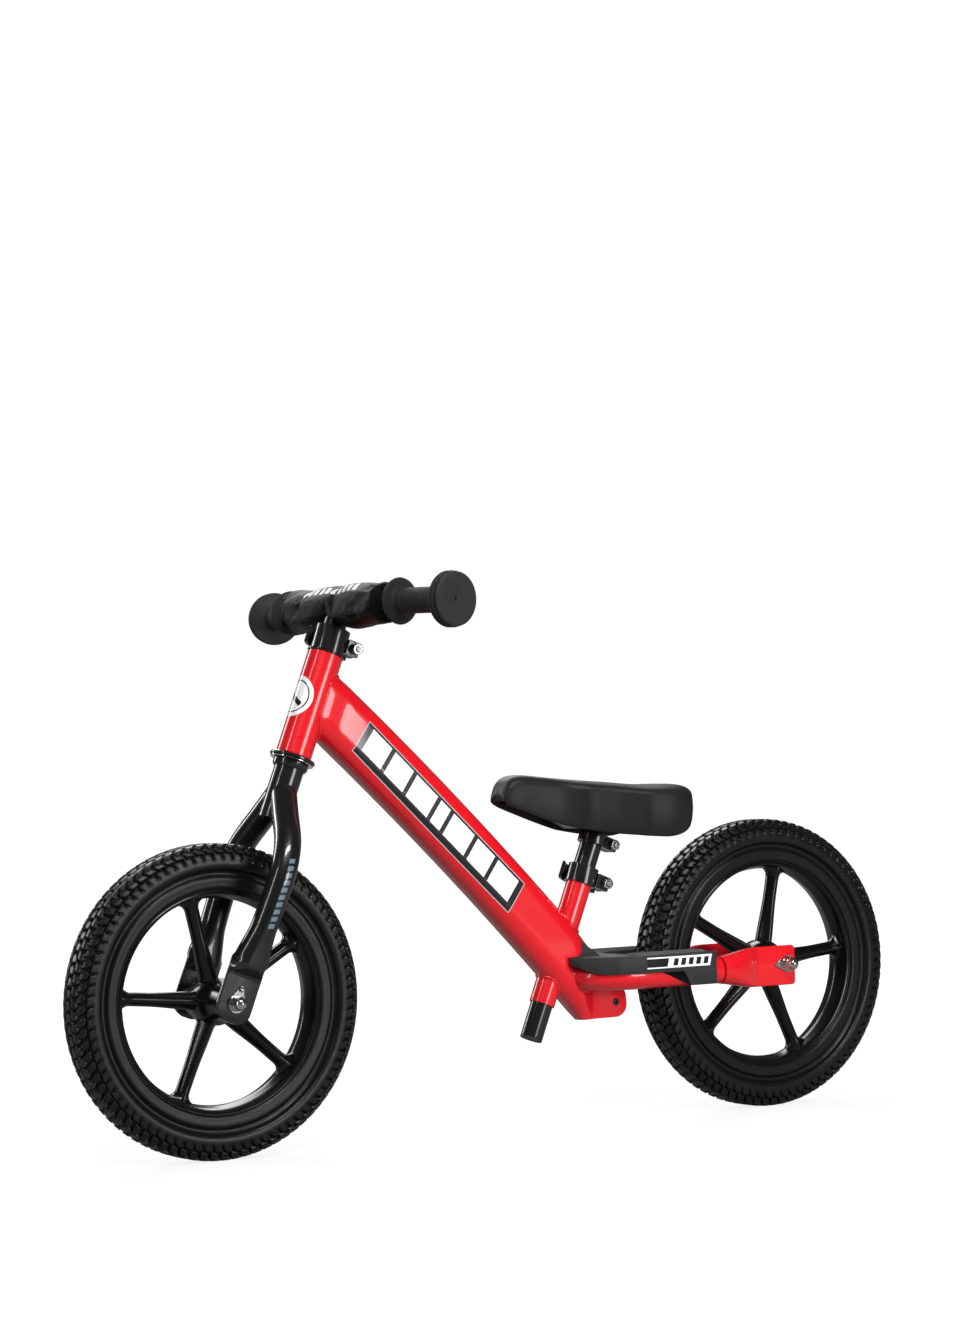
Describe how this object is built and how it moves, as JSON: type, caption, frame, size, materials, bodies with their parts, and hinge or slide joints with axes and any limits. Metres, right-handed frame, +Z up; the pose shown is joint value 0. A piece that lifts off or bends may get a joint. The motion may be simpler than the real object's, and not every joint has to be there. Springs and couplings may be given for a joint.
{
  "type": "balance bike",
  "caption": "Child's balance bike with no pedals: red arched frame, black fork, spoked wheels with foam tyres, low saddle, padded straight handlebar and footrests by the rear wheel.",
  "frame": {"origin": "on the ground, on the mid plane, midway between the two wheel axles", "axes": "+X forwards, +Y to the rider's left, +Z up"},
  "size_m": [0.916, 0.3716, 0.5341],
  "materials": {
    "frame_paint": "high gloss red",
    "black_paint": "high gloss black",
    "wheel_plastic": "glossy moulded black",
    "tyre_foam": "satin black foam",
    "cover_plastic": "satin charcoal",
    "footrest_rubber": "matte dark grey with a raised grip pattern",
    "grip_rubber": "matte black",
    "saddle_skin": "smooth matte black synthetic skin",
    "pad_fabric": "woven black cloth",
    "bright_hardware": "bright plated",
    "plain_steel": "satin"
  },
  "bodies": {
    "frame": {"head_tube": "frame_paint", "upper_headset_cup": "black_paint", "lower_headset_cup": "black_paint", "main_beam": "frame_paint", "seat_tube": "frame_paint", "left_stay": "frame_paint", "right_stay": "frame_paint", "footrest_cover": "cover_plastic", "left_footrest_grip": "footrest_rubber", "right_footrest_grip": "footrest_rubber", "rear_axle": "plain_steel", "rear_spacer_left": "plain_steel", "rear_spacer_right": "plain_steel", "rear_safety_washer_left": "bright_hardware", "rear_safety_washer_right": "bright_hardware", "rear_axle_nut_left": "bright_hardware", "rear_axle_nut_right": "bright_hardware", "seat_clamp_collar": "black_paint", "seat_clamp_skewer": "plain_steel", "seat_clamp_nut": "bright_hardware"},
    "seat_lever": {"seat_clamp_lever": "black_paint"},
    "seat": {"seat_post": "black_paint", "seat_post_plug": "cover_plastic", "saddle_clamp": "black_paint", "saddle_clamp_bolt": "bright_hardware", "saddle_pan": "cover_plastic", "saddle_cushion": "saddle_skin"},
    "fork": {"steerer_tube": "black_paint", "left_fork_leg": "black_paint", "right_fork_leg": "black_paint", "crown_washer": "bright_hardware", "crown_race": "black_paint", "front_axle": "plain_steel", "front_spacer_left": "plain_steel", "front_spacer_right": "plain_steel", "front_safety_washer_left": "bright_hardware", "front_safety_washer_right": "bright_hardware", "front_axle_nut_left": "bright_hardware", "front_axle_nut_right": "bright_hardware", "stem_clamp_collar": "black_paint", "stem_clamp_skewer": "plain_steel", "stem_clamp_nut": "bright_hardware"},
    "stem_lever": {"stem_clamp_lever": "black_paint"},
    "handlebar": {"handlebar_stem": "black_paint", "handlebar_crossbar": "black_paint", "handlebar_pad": "pad_fabric", "left_grip": "grip_rubber", "right_grip": "grip_rubber"},
    "front_wheel": {"front_tyre": "tyre_foam", "front_wheel": "wheel_plastic", "front_bearing_left": "plain_steel", "front_bearing_right": "plain_steel"},
    "rear_wheel": {"rear_tyre": "tyre_foam", "rear_wheel": "wheel_plastic", "rear_bearing_left": "plain_steel", "rear_bearing_right": "plain_steel"}
  },
  "joints": [
    {"name": "steering", "type": "hinge", "parent": "frame", "child": "fork", "pos_m": [0.31023, 0, 0.1453], "axis": [-0.3681, 0, 0.9298], "continuous": true},
    {"name": "handlebar_height", "type": "slide", "parent": "fork", "child": "handlebar", "axis": [-0.3681, 0, 0.9298], "range_m": [0, 0.09]},
    {"name": "front_wheel_spin", "type": "hinge", "parent": "fork", "child": "front_wheel", "pos_m": [0.312, 0, 0.146], "axis": [0, 1, 0], "continuous": true},
    {"name": "rear_wheel_spin", "type": "hinge", "parent": "frame", "child": "rear_wheel", "pos_m": [-0.312, 0, 0.146], "axis": [0, 1, 0], "continuous": true},
    {"name": "seat_height", "type": "slide", "parent": "frame", "child": "seat", "axis": [-0.3813, 0, 0.9245], "range_m": [-0.02, 0.1]},
    {"name": "seat_clamp_lever_turn", "type": "hinge", "parent": "frame", "child": "seat_lever", "pos_m": [-0.1194, -0.015, 0.23481], "axis": [0.3813, 0, -0.9245], "range_deg": [0, 120]},
    {"name": "stem_clamp_lever_turn", "type": "hinge", "parent": "fork", "child": "stem_lever", "pos_m": [0.15598, -0.015, 0.4697], "axis": [0.3681, 0, -0.9298], "range_deg": [0, 120]}
  ]
}
